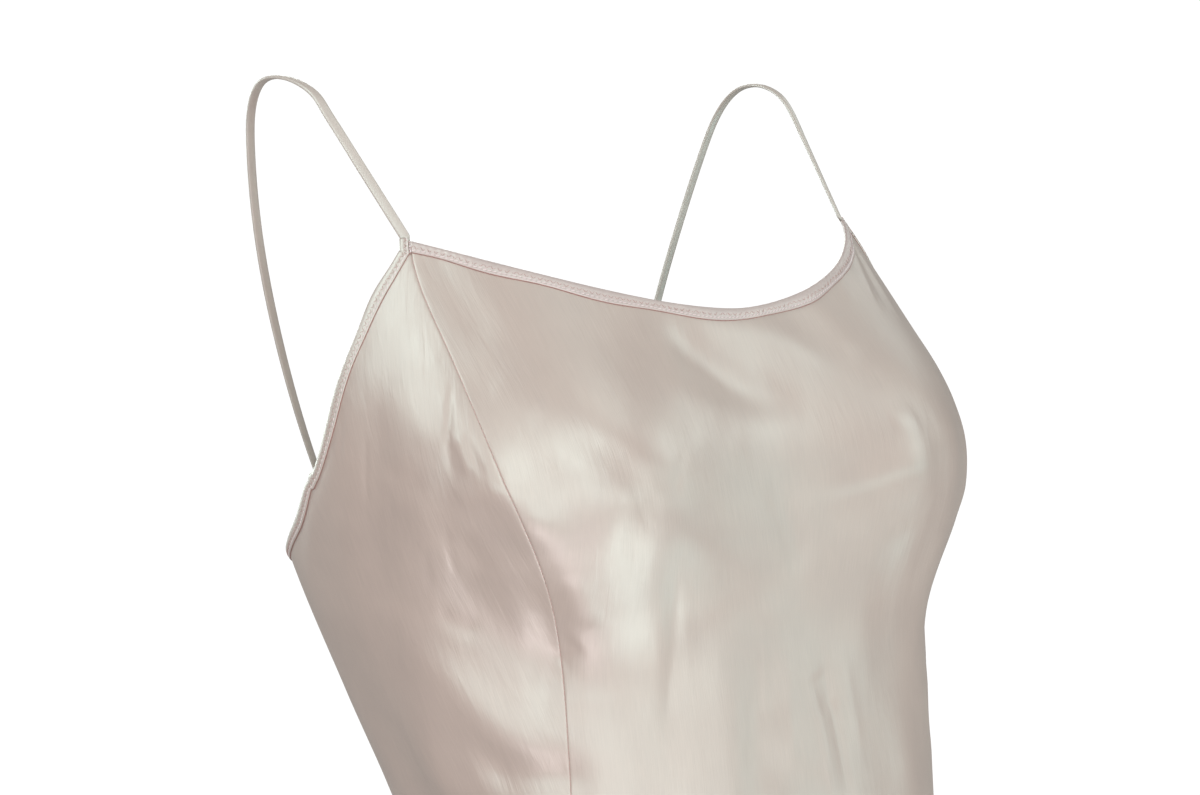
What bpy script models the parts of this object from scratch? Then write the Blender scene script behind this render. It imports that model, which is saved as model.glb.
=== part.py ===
"""Slip dress in satin, filled out with no wearer.

Metres, +Z up. The wearer faces -Y, so the wearer's right is -X. The origin lies midway between the
tops of the two shoulder straps, where the wearer's shoulders hold the dress.

Every piece of cloth lies on one surface, the skin: level rings round the dress, worked out from
SECTIONS and pushed in and out by FOLDS. A panel is the stretch of skin between two seams, a binding
is a band along the edge of the panels, and a strap is a band along a route of its own.
"""

import math

import bmesh
import bpy
import numpy as np

# Driving sizes -----------------------------------------------------------------------------------

CLOTH = 0.0012             # wall of a panel
BINDING = 0.0022           # wall of a folded bias binding, which holds the panel's edge inside
STRAP = 0.0014             # wall of a flat rouleau strap
BINDING_WIDTH = 0.005
STRAP_WIDTH = 0.004
SEAM_GAP = 0.0003          # between pieces that are sewn together
STRIP_RISE = 0.0015        # how far the armhole binding stands above the end of the neckline
STRAP_LEAD = 0.0010        # straight end of a strap where it is sewn on
STRAP_INSET = {"right": 0.0, "left": 0.0025}   # how far a strap's route lies inside STRAP_ROUTE
STRAP_TAUT = (0.05, 0.35, 0.65, 0.90)         # shares of the straight run up to the shoulder
STRAP_TWIST = 0.40         # share of a strap, at each end, over which it turns from body to shoulder

HEM_Z = -1.120
NECK_CENTRE_Z = -0.0987    # top edge at the centre front
NECK_END_Z = {"right": -0.0692, "left": -0.0640}
NECK_POWER = 1.71          # how the scoop rises from the centre to the straps
BACK_CENTRE_Z = -0.224     # top edge at the centre back
BACK_END_Z = -0.212

BACK_SQUARENESS = 2.2
BUST_SPACING = 0.176
BUST_SPREAD = 0.045
FOLD_FADE = 1.2            # how softly a fold swells from its ends

# One row for each level of the body, from above the neckline to the hem. front and back are how far
# the ring reaches before and behind the shoulder line. The torso leans back from the waist up, so
# both move forward with depth. bust is the lift of the two cups, and the seams are given by how far
# they lie from the centre line.
SECTION_COLUMNS = (
    "z", "half_width", "front", "back", "squareness", "bust", "seam_right", "seam_left", "seam_back",
)
SECTIONS = (
    (-0.030, 0.1350, 0.0940, 0.0780, 2.00, 0.000, 0.1040, 0.1090, 0.085),
    (-0.070, 0.1474, 0.1242, 0.0726, 2.15, 0.000, 0.1266, 0.1210, 0.085),
    (-0.110, 0.1570, 0.1485, 0.0652, 2.42, 0.007, 0.1325, 0.1300, 0.085),
    (-0.150, 0.1631, 0.1688, 0.0575, 2.62, 0.016, 0.1326, 0.1326, 0.085),
    (-0.190, 0.1602, 0.1768, 0.0505, 2.37, 0.015, 0.1210, 0.1210, 0.085),
    (-0.230, 0.1508, 0.1786, 0.0375, 2.03, 0.008, 0.1070, 0.1070, 0.083),
    (-0.280, 0.1360, 0.1895, 0.0150, 2.02, 0.003, 0.1036, 0.1036, 0.076),
    (-0.340, 0.1230, 0.2015, -0.0100, 2.15, 0.000, 0.1045, 0.1045, 0.072),
    (-0.430, 0.1410, 0.2070, 0.0050, 2.15, 0.000, 0.1120, 0.1120, 0.080),
    (-0.520, 0.1650, 0.2120, 0.0310, 2.20, 0.000, 0.1200, 0.1200, 0.090),
    (-0.620, 0.1820, 0.2180, 0.0470, 2.18, 0.000, 0.1275, 0.1275, 0.098),
    (-0.750, 0.1960, 0.2250, 0.0550, 2.14, 0.000, 0.1340, 0.1340, 0.105),
    (-0.900, 0.2080, 0.2330, 0.0620, 2.10, 0.000, 0.1410, 0.1410, 0.112),
    (-1.120, 0.2280, 0.2460, 0.0720, 2.10, 0.000, 0.1520, 0.1520, 0.122),
)

# The stitched edge of the armhole, from the front strap round under the arm to the back strap:
# round is the share of the way from the front seam to the back seam. The first row's height is the
# end of the neckline, which differs a little between right and left. Columns: round, z.
ARMHOLE = (
    (0.036, -0.0815),
    (0.104, -0.0930),
    (0.167, -0.1060),
    (0.230, -0.1195),
    (0.287, -0.1340),
    (0.348, -0.1550),
    (0.417, -0.1765),
    (0.471, -0.1880),
    (0.530, -0.1960),
    (0.600, -0.2030),
    (0.710, -0.2090),
    (0.850, -0.2140),
    (1.000, -0.2170),
)

# Soft folds: each runs straight down the skin from its top to its bottom, swells and fades along
# its length, and lifts the cloth (or sinks it, where lift is below 0). Angles are degrees round the
# ring, 0 at the front and + towards the wearer's left. The skirt's flutes end far under the hem, so
# that they are deepest there. Columns: angle_top, z_top, angle_bottom, z_bottom, half_width, lift.
FOLDS = (
    (-22, -0.175, -28, -0.330, 0.012, -0.0030),
    (-10, -0.190, -20, -0.370, 0.020, 0.0025),
    (18, -0.185, 24, -0.340, 0.014, -0.0020),
    (-70, -0.165, -46, -0.255, 0.017, -0.0035),
    (-78, -0.215, -52, -0.300, 0.018, 0.0030),
    (64, -0.170, 50, -0.260, 0.017, -0.0035),
    (-100, -0.225, -84, -0.370, 0.018, -0.0030),
    (102, -0.230, 88, -0.360, 0.017, -0.0030),
    (160, -0.240, 150, -0.400, 0.020, -0.0030),
    (-158, -0.245, -150, -0.390, 0.019, -0.0030),
    (8, -0.470, 4, -1.900, 0.040, 0.0120),
    (-33, -0.500, -38, -2.000, 0.036, 0.0150),
    (46, -0.520, 50, -1.900, 0.038, 0.0140),
    (-71, -0.450, -77, -1.950, 0.035, 0.0120),
    (86, -0.480, 92, -2.000, 0.037, 0.0150),
    (-112, -0.500, -110, -1.900, 0.040, 0.0140),
    (127, -0.530, 124, -1.950, 0.036, 0.0120),
    (-148, -0.520, -152, -1.900, 0.038, 0.0150),
    (168, -0.500, 170, -2.000, 0.039, 0.0130),
    (-14, -0.560, -18, -1.900, 0.026, -0.0080),
    (28, -0.540, 26, -1.900, 0.026, -0.0090),
    (-56, -0.560, -60, -1.900, 0.026, -0.0080),
    (68, -0.570, 72, -1.900, 0.028, -0.0090),
    (-95, -0.560, -94, -1.900, 0.026, -0.0080),
    (108, -0.560, 108, -1.900, 0.026, -0.0080),
    (-130, -0.580, -131, -1.900, 0.028, -0.0090),
    (148, -0.570, 147, -1.900, 0.028, -0.0080),
    (-170, -0.580, -171, -1.900, 0.026, -0.0080),
)

# A strap's route over the shoulder and down the back, on the wearer's left. Columns: x, y, z.
STRAP_ROUTE = (
    (0.1360, -0.0335, -0.0155),
    (0.1368, -0.0262, -0.0080),
    (0.1380, -0.0186, -0.0037),
    (0.1390, -0.0100, -0.0010),
    (0.1400, 0.0000, 0.0000),
    (0.1398, 0.0110, -0.0022),
    (0.1380, 0.0210, -0.0110),
    (0.1340, 0.0290, -0.0300),
    (0.1240, 0.0380, -0.0720),
    (0.1120, 0.0420, -0.1150),
    (0.0990, 0.0390, -0.1620),
)

# How finely the cloth is divided ----------------------------------------------------------------

FRONT_COLUMNS = 22
SIDE_COLUMNS = 21
BACK_COLUMNS = 12
BODICE_ROWS = 11           # from the top edge down to BODICE_Z
BODICE_Z = -0.300
SKIRT_LEVELS = (
    -0.322, -0.347, -0.375, -0.408, -0.446, -0.488, -0.534, -0.585, -0.643, -0.710,
    -0.787, -0.868, -0.951, -1.036, HEM_Z,
)
STRAP_STEPS = 44
EDGE_SAMPLES = 201         # points that an edge is measured with before it is divided evenly

# Colours ------------------------------------------------------------------------------------------

BLUSH_SATIN = (0.64, 0.56, 0.50, 1.0)
BLUSH_BINDING = (0.62, 0.53, 0.48, 1.0)


# Smooth curves through a table -------------------------------------------------------------------

def natural_cubic(knots, values):
    """Return a function that runs smoothly through the values at the knots."""
    knots = np.asarray(knots, float)
    values = np.asarray(values, float)
    count = len(knots)
    gaps = np.diff(knots)
    slopes = np.diff(values, axis=0) / gaps.reshape((-1,) + (1,) * (values.ndim - 1))
    system = np.eye(count)
    right_side = np.zeros_like(values)
    for i in range(1, count - 1):
        system[i, i - 1:i + 2] = gaps[i - 1], 2 * (gaps[i - 1] + gaps[i]), gaps[i]
        right_side[i] = 6 * (slopes[i] - slopes[i - 1])
    bends = np.linalg.solve(system, right_side)

    def curve(at):
        at = np.clip(np.asarray(at, float), knots[0], knots[-1])
        i = np.clip(np.searchsorted(knots, at) - 1, 0, count - 2)
        gap = gaps[i]
        before = (knots[i + 1] - at) / gap
        after = (at - knots[i]) / gap
        if values.ndim > 1:
            gap, before, after = gap[..., None], before[..., None], after[..., None]
        swing = (before ** 3 - before) * bends[i] + (after ** 3 - after) * bends[i + 1]
        return before * values[i] + after * values[i + 1] + swing * gap ** 2 / 6

    return curve


def along(points):
    """Return each point's distance along the polyline, as a share of its length."""
    steps = np.linalg.norm(np.diff(np.asarray(points, float), axis=0), axis=1)
    distance = np.concatenate([[0.0], np.cumsum(steps)])
    return distance / distance[-1]


def unit(vectors):
    return vectors / np.linalg.norm(vectors, axis=-1, keepdims=True)


def smoothstep(share):
    share = np.clip(share, 0, 1)
    return share * share * (3 - 2 * share)


# The skin ------------------------------------------------------------------------------------------

section_rows = np.array(SECTIONS)
section_at = natural_cubic(-section_rows[:, 0], section_rows[:, 1:])


def sections(z):
    """Return the section's named sizes at each height."""
    sizes = section_at(-np.asarray(z, float))
    return {name: sizes[..., i] for i, name in enumerate(SECTION_COLUMNS[1:])}


def ring(angle, z):
    """Return the points of the level rings before any fold, for angles in radians."""
    size = sections(z)
    forward, sideways = np.cos(angle), np.sin(angle)
    squareness = size["squareness"]
    middle = (size["back"] - size["front"]) / 2
    depth = (size["back"] + size["front"]) / 2
    x = size["half_width"] * np.sign(sideways) * np.abs(sideways) ** (2 / squareness)
    cup = size["bust"] * np.exp(-((np.abs(x) - BUST_SPACING / 2) / BUST_SPREAD) ** 2)
    front = middle - depth * np.abs(forward) ** (2 / squareness) - cup
    back = middle + depth * np.abs(forward) ** (2 / BACK_SQUARENESS)
    return np.stack([x, np.where(forward > 0, front, back), z + 0 * x], axis=-1)


def fold_lift(angle, z):
    """Return how far the folds push the cloth out at each point."""
    size = sections(z)
    reach = (size["half_width"] + (size["front"] + size["back"]) / 2) / 2
    lift = np.zeros_like(reach)
    for angle_top, z_top, angle_bottom, z_bottom, half_width, height in FOLDS:
        share = np.clip((z_top - z) / (z_top - z_bottom), 0, 1)
        line = np.radians(angle_top + (angle_bottom - angle_top) * share)
        turn = (angle - line + math.pi) % (2 * math.pi) - math.pi
        across = np.exp(-(turn * reach / half_width) ** 2)
        lift += height * across * np.sin(math.pi * share) ** FOLD_FADE
    return lift


def skin(angle, z, out=0.0):
    """Return points of the folded skin, moved out level by the given distance."""
    angle, z = np.broadcast_arrays(np.asarray(angle, float), np.asarray(z, float))
    step = 0.002
    tangent = ring(angle + step, z) - ring(angle - step, z)
    normal = unit(np.stack([tangent[..., 1], -tangent[..., 0], 0 * z], axis=-1))
    return ring(angle, z) + normal * (fold_lift(angle, z) + out)[..., None]


def seam_angle(z, seam):
    """Return the ring angle, in radians, at which a seam crosses each height."""
    size = sections(z)
    if seam in ("back_left", "back_right"):
        angle = math.pi - np.arcsin((size["seam_back"] / size["half_width"]) ** (size["squareness"] / 2))
    else:
        angle = np.arcsin((size["seam_" + seam] / size["half_width"]) ** (size["squareness"] / 2))
    return -angle if seam.endswith("right") else angle


# Edges of the bodice: each is a list of (angle, z) on the skin -----------------------------------

def neck_top(x):
    """Return the height of the neckline's top edge at each distance from the centre line."""
    end = {side: float(sections(z)["seam_" + side]) for side, z in NECK_END_Z.items()}
    right = (NECK_END_Z["right"] - NECK_CENTRE_Z) * (np.abs(x) / end["right"]) ** NECK_POWER
    left = (NECK_END_Z["left"] - NECK_CENTRE_Z) * (np.abs(x) / end["left"]) ** NECK_POWER
    return NECK_CENTRE_Z + np.where(x < 0, right, left)


def drop_edge(angle, z, distance):
    """Move an edge that runs mostly level down the skin by a distance across it."""
    points = skin(angle, z)
    level = np.linalg.norm(np.gradient(points[:, :2], axis=0), axis=1)
    slope = np.gradient(z) / level
    return z - distance * np.sqrt(1 + slope ** 2)


def neckline(count, distance):
    """Return the front neckline from seam to seam, moved down from the top edge by a distance."""
    ends = [float(sections(z)["seam_" + side]) for side, z in NECK_END_Z.items()]
    x = np.linspace(-ends[0], ends[1], EDGE_SAMPLES)
    z = neck_top(x)
    size = sections(z)
    angle = np.sign(x) * np.arcsin((np.abs(x) / size["half_width"]) ** (size["squareness"] / 2))
    lower = drop_edge(angle, z, distance)
    share = (x + ends[0]) / (ends[0] + ends[1])
    where = np.interp(np.linspace(0, 1, count), along(skin(angle, lower)), share)
    lower = np.interp(where, share, lower)
    start, stop = seam_angle(lower, "right"), seam_angle(lower, "left")
    angle = np.interp(where, share, angle)
    angle[0], angle[-1] = start[0], stop[-1]
    return angle, lower


def back_edge(count, distance):
    """Return the back's top edge from the left back seam to the right, moved down by a distance."""
    share = np.linspace(-1, 1, count)
    z = BACK_CENTRE_Z + (BACK_END_Z - BACK_CENTRE_Z) * np.abs(share) ** 2 - distance
    start, stop = seam_angle(z, "back_left"), seam_angle(z, "back_right") + 2 * math.pi
    return start + (stop - start) * (share + 1) / 2, z


def armhole(side):
    """Return (angle, z) of an armhole's stitched edge, a point for each column of the side panel.

    A last stretch at the front runs on up the front seam, beside the end of the neckline.
    """
    right_end, left_end = neckline(FRONT_COLUMNS + 1, BINDING_WIDTH)[1][[0, -1]]
    end = right_end if side == "right" else left_end
    rows = [(0.0, end)] + [(share, z + (end - right_end) * (1 - share) ** 3) for share, z in ARMHOLE]
    rows = np.array(rows)
    smooth = natural_cubic(along(skin(*around_side(side, *rows.T))), rows)
    samples = np.linspace(0, 1, EDGE_SAMPLES)
    lengths = along(skin(*around_side(side, *smooth(samples).T)))
    where = np.interp(np.linspace(0, 1, SIDE_COLUMNS + 1), lengths, samples)
    strip = [(0.0, end + (BINDING_WIDTH + STRIP_RISE) * share) for share in (1.0, 0.5)]
    return around_side(side, *np.vstack([strip, smooth(where)]).T)


def around_side(side, share, z):
    """Return (angle, z) at the given shares of the way from a side's front seam to its back seam."""
    front, back = seam_angle(z, side), seam_angle(z, "back_" + side)
    return front + (back - front) * share, z


def beside(side, angle, z, distance):
    """Move an armhole's edge across itself on the skin, towards the arm. Its back end slides up."""
    step = 0.001
    around = (skin(angle + step, z) - skin(angle - step, z)) / (2 * step)
    upward = (skin(angle, z + step) - skin(angle, z - step)) / (2 * step)
    forward = np.gradient(skin(angle, z), axis=0)
    across = np.cross(np.cross(around, upward), forward)
    across /= np.linalg.norm(across, axis=1, keepdims=True) * (-1 if side == "right" else 1)
    moved_angle = angle + distance * np.sum(across * around, axis=1) / np.sum(around ** 2, axis=1)
    moved_z = z + distance * across[:, 2]
    moved_z[-1] = z[-1] + distance / across[-1, 2]
    moved_angle[-1] = around_side(side, 1.0, moved_z[-1])[0]
    return moved_angle, moved_z


# Making pieces -------------------------------------------------------------------------------------

def fresh_scene():
    """Remove everything and return the collection that the dress goes in."""
    for thing in list(bpy.data.objects):
        bpy.data.objects.remove(thing, do_unlink=True)
    dress = bpy.data.collections.new("slip_dress")
    bpy.context.scene.collection.children.link(dress)
    return dress


def satin(name, colour, roughness):
    """Return a plain material with a satin's colour and gloss."""
    material = bpy.data.materials.new(name)
    material.use_nodes = True
    shader = material.node_tree.nodes["Principled BSDF"]
    shader.inputs["Base Color"].default_value = colour
    shader.inputs["Roughness"].default_value = roughness
    shader.inputs["Metallic"].default_value = 0.0
    return material


def cloth(dress, name, grid, wall, colour, roughness=0.42):
    """Make a piece of cloth from a grid of points on its middle surface."""
    grid = np.asarray(grid, float)
    rows, columns = grid.shape[:2]
    surface = bmesh.new()
    verts = [[surface.verts.new(point) for point in line] for line in grid]
    for i in range(rows - 1):
        for j in range(columns - 1):
            surface.faces.new((verts[i][j], verts[i + 1][j], verts[i + 1][j + 1], verts[i][j + 1]))
    mesh = bpy.data.meshes.new(name)
    surface.to_mesh(mesh)
    surface.free()
    mesh.materials.append(satin(name, colour, roughness))
    mesh.shade_smooth()
    piece = bpy.data.objects.new(name, mesh)
    wall_maker = piece.modifiers.new("wall", "SOLIDIFY")
    wall_maker.thickness = wall
    wall_maker.offset = 0.0
    dress.objects.link(piece)
    return piece


def panel_grid(angles, tops, left_seam, right_seam):
    """Return a panel's points from its top edge to the hem, between two seams.

    angles and tops are the top edge. Lower down the columns swing over to equal shares of the way
    between the seams, and the panel stops half a seam gap short of each seam.
    """
    share_top = (angles - left_seam(tops)) / (right_seam(tops) - left_seam(tops))
    share_even = np.linspace(0, 1, len(angles))
    heights = [tops + (BODICE_Z - tops) * v for v in np.linspace(0, 1, BODICE_ROWS + 1)]
    heights += [np.full(len(angles), z) for z in SKIRT_LEVELS]
    grid = []
    for z in heights:
        v = (tops - z) / (tops - BODICE_Z)
        share = share_top + (share_even - share_top) * smoothstep(v)
        start, stop = left_seam(z), right_seam(z)
        angle = start + (stop - start) * share
        for end, neighbour in ((0, 1), (-1, -2)):
            here, there = skin(angle[[end, neighbour]], z[[end, neighbour]])
            width = np.linalg.norm(there - here)
            angle[end] += (angle[neighbour] - angle[end]) * SEAM_GAP / 2 / width
        grid.append(skin(angle, z))
    return np.array(grid)


def front_panel(dress):
    angles, tops = neckline(FRONT_COLUMNS + 1, BINDING_WIDTH + SEAM_GAP)
    grid = panel_grid(
        angles, tops,
        lambda z: seam_angle(z, "right"),
        lambda z: seam_angle(z, "left"),
    )
    cloth(dress, "front_panel", grid, CLOTH, BLUSH_SATIN)


def side_panel(dress, side):
    angles, tops = (line[2:] for line in beside(side, *armhole(side), -SEAM_GAP / 2))
    tops[0] -= SEAM_GAP
    angles[0] = seam_angle(tops[0], side)
    grid = panel_grid(
        angles, tops,
        lambda z: seam_angle(z, side),
        lambda z: seam_angle(z, "back_" + side),
    )
    grid = grid[:, ::-1] if side == "right" else grid
    cloth(dress, "side_panel_" + side, grid, CLOTH, BLUSH_SATIN)


def back_panel(dress):
    angles, tops = back_edge(BACK_COLUMNS + 1, BINDING_WIDTH + SEAM_GAP)
    grid = panel_grid(
        angles, tops,
        lambda z: seam_angle(z, "back_left"),
        lambda z: seam_angle(z, "back_right") + 2 * math.pi,
    )
    cloth(dress, "back_panel", grid, CLOTH, BLUSH_SATIN)


def level_binding(dress, name, edge_at, columns):
    """Make the band along an edge that edge_at gives at any distance from the top."""
    grid = []
    for distance in np.linspace(0, BINDING_WIDTH, 3):
        line = skin(*edge_at(columns + 1, distance))
        for end, neighbour in ((0, 1), (-1, -2)):
            step = line[neighbour] - line[end]
            line[end] += step * SEAM_GAP / 2 / np.linalg.norm(step)
        grid.append(line)
    cloth(dress, name, grid, BINDING, BLUSH_BINDING)


def armhole_bands(side):
    """Return the lines of an armhole's binding, from its outer edge to its stitched edge."""
    distances = np.linspace(BINDING_WIDTH, SEAM_GAP / 2, 3)
    return np.array([skin(*beside(side, *armhole(side), distance)) for distance in distances])


def armhole_binding(dress, side):
    """Make the band round an armhole. Its front end turns up beside the neckline to the strap."""
    grid = armhole_bands(side)
    grid = grid[:, ::-1] if side == "right" else grid
    cloth(dress, "armhole_binding_" + side, grid, BINDING, BLUSH_BINDING)


def strap(dress, side):
    """Make a strap: a ribbon from the front end of the armhole binding over the shoulder to the back.

    It is taut up to the shoulder and lies flat over it. At the back it comes down to the seam where
    the armhole binding meets the back binding.
    """
    mirror = np.array([-1 if side == "right" else 1, 1, 1])
    outer, middle, inner = armhole_bands(side)
    front_up, front_across = unit(middle[0] - middle[1]), unit(outer[0] - inner[0])
    back_up, back_across = unit(outer[-1] - inner[-1]), unit(outer[-2] - outer[-1])
    start, stop = middle[0] + front_up * SEAM_GAP, outer[-1] + back_up * SEAM_GAP
    first, last = start + front_up * STRAP_LEAD, stop + back_up * STRAP_LEAD
    over = (np.array(STRAP_ROUTE) - (STRAP_INSET[side], 0, 0)) * mirror
    taut = [first + (over[0] - first) * share for share in STRAP_TAUT]
    route = np.vstack([first, taut, over, last])
    path = natural_cubic(along(route), route)(np.linspace(0, 1, STRAP_STEPS + 1))
    path = np.vstack([start, path, stop])
    share = along(path)[:, None]
    front = 1 - smoothstep(share / STRAP_TWIST)
    back = smoothstep((share - 1 + STRAP_TWIST) / STRAP_TWIST)
    shoulder = np.array([mirror[0], 0.0, 0.0])
    across = front_across * front + back_across * back + shoulder * (1 - front - back)
    forward = unit(np.gradient(path, axis=0))
    across = unit(across - forward * np.sum(across * forward, axis=1, keepdims=True))
    grid = [path + across * STRAP_WIDTH * share for share in (-0.5, 0.0, 0.5)]
    cloth(dress, "strap_" + side, grid, STRAP, BLUSH_BINDING)


def build():
    dress = fresh_scene()
    front_panel(dress)
    for side in ("right", "left"):
        side_panel(dress, side)
    back_panel(dress)
    level_binding(dress, "neckline_binding", neckline, FRONT_COLUMNS)
    level_binding(dress, "back_binding", back_edge, BACK_COLUMNS)
    for side in ("right", "left"):
        armhole_binding(dress, side)
        strap(dress, side)


build()
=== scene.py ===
"""A slip dress in blush satin: panels, bound edges, straps and stitching.

Metres, +Z up. The front of the dress faces -Y, so the wearer's right is -X. Each piece stands for the
solid of its name in the frame and follows the same surface, with a finer grid and the cloth's creases.
"""

import math

import bpy
import numpy as np
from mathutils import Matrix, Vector


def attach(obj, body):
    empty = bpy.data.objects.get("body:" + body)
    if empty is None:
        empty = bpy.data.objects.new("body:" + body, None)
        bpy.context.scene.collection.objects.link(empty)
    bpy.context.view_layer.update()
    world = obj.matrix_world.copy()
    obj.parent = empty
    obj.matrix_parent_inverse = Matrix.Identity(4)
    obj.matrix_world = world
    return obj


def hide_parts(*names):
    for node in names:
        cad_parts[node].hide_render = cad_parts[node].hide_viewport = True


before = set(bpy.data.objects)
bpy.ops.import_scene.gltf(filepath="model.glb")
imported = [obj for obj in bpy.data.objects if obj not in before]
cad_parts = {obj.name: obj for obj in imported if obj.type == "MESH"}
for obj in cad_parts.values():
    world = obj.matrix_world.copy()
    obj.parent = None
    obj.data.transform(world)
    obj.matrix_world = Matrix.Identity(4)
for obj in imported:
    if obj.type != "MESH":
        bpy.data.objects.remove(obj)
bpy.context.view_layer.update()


# The panels ---------------------------------------------------------------------------------------
#
# Four panels of satin, neckline to hem: centre front, two sides and centre back, joined by princess
# seams with the allowances pressed open inside. Filament yarns float on the face and give the satin
# its broad, soft gloss, ivory where it catches the light and blush where it turns away.

# The dress is cut close to a medium figure and filled out. Level rings give its girth from above the
# neckline to the hem; the cups lift the front, and the body leans back from the waist up.
HEM_Z = -1.120
BUST_SPACING = 0.176       # between the middles of the cups
BUST_SPREAD = 0.045        # half width of a cup's swelling
BACK_SQUARENESS = 2.2      # 2 is an ellipse, more is squarer

# A ring's height, then these columns. The last three are the seams' distances from the middle.
SECTION_COLUMNS = ("half_width", "front", "back", "squareness", "bust", "right", "left", "seam_back")
SECTIONS = np.array([
    (-0.030, 0.1350, 0.0940, 0.0780, 2.00, 0.000, 0.1040, 0.1090, 0.085),
    (-0.070, 0.1474, 0.1242, 0.0726, 2.15, 0.000, 0.1266, 0.1210, 0.085),
    (-0.110, 0.1570, 0.1485, 0.0652, 2.42, 0.007, 0.1325, 0.1300, 0.085),
    (-0.150, 0.1631, 0.1688, 0.0575, 2.62, 0.016, 0.1326, 0.1326, 0.085),
    (-0.190, 0.1602, 0.1768, 0.0505, 2.37, 0.015, 0.1210, 0.1210, 0.085),
    (-0.230, 0.1508, 0.1786, 0.0375, 2.03, 0.008, 0.1070, 0.1070, 0.083),
    (-0.280, 0.1360, 0.1895, 0.0150, 2.02, 0.003, 0.1036, 0.1036, 0.076),
    (-0.340, 0.1230, 0.2015, -0.0100, 2.15, 0.000, 0.1045, 0.1045, 0.072),
    (-0.430, 0.1410, 0.2070, 0.0050, 2.15, 0.000, 0.1120, 0.1120, 0.080),
    (-0.520, 0.1650, 0.2120, 0.0310, 2.20, 0.000, 0.1200, 0.1200, 0.090),
    (-0.620, 0.1820, 0.2180, 0.0470, 2.18, 0.000, 0.1275, 0.1275, 0.098),
    (-0.750, 0.1960, 0.2250, 0.0550, 2.14, 0.000, 0.1340, 0.1340, 0.105),
    (-0.900, 0.2080, 0.2330, 0.0620, 2.10, 0.000, 0.1410, 0.1410, 0.112),
    (-1.120, 0.2280, 0.2460, 0.0720, 2.10, 0.000, 0.1520, 0.1520, 0.122),
])

# Large folds and the skirt's flutes, straight down the cloth: angle_top, z_top, angle_bottom,
# z_bottom, half_width, lift. Angles are degrees round the ring, 0 at the front, + to the wearer's left.
FOLDS = (
    (-22, -0.175, -28, -0.330, 0.012, -0.0030),
    (-10, -0.190, -20, -0.370, 0.020, 0.0025),
    (18, -0.185, 24, -0.340, 0.014, -0.0020),
    (-70, -0.165, -46, -0.255, 0.017, -0.0035),
    (-78, -0.215, -52, -0.300, 0.018, 0.0030),
    (64, -0.170, 50, -0.260, 0.017, -0.0035),
    (-100, -0.225, -84, -0.370, 0.018, -0.0030),
    (102, -0.230, 88, -0.360, 0.017, -0.0030),
    (160, -0.240, 150, -0.400, 0.020, -0.0030),
    (-158, -0.245, -150, -0.390, 0.019, -0.0030),
    (8, -0.470, 4, -1.900, 0.040, 0.0120),
    (-33, -0.500, -38, -2.000, 0.036, 0.0150),
    (46, -0.520, 50, -1.900, 0.038, 0.0140),
    (-71, -0.450, -77, -1.950, 0.035, 0.0120),
    (86, -0.480, 92, -2.000, 0.037, 0.0150),
    (-112, -0.500, -110, -1.900, 0.040, 0.0140),
    (127, -0.530, 124, -1.950, 0.036, 0.0120),
    (-148, -0.520, -152, -1.900, 0.038, 0.0150),
    (168, -0.500, 170, -2.000, 0.039, 0.0130),
    (-14, -0.560, -18, -1.900, 0.026, -0.0080),
    (28, -0.540, 26, -1.900, 0.026, -0.0090),
    (-56, -0.560, -60, -1.900, 0.026, -0.0080),
    (68, -0.570, 72, -1.900, 0.028, -0.0090),
    (-95, -0.560, -94, -1.900, 0.026, -0.0080),
    (108, -0.560, 108, -1.900, 0.026, -0.0080),
    (-130, -0.580, -131, -1.900, 0.028, -0.0090),
    (148, -0.570, 147, -1.900, 0.028, -0.0080),
    (-170, -0.580, -171, -1.900, 0.026, -0.0080),
)

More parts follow.
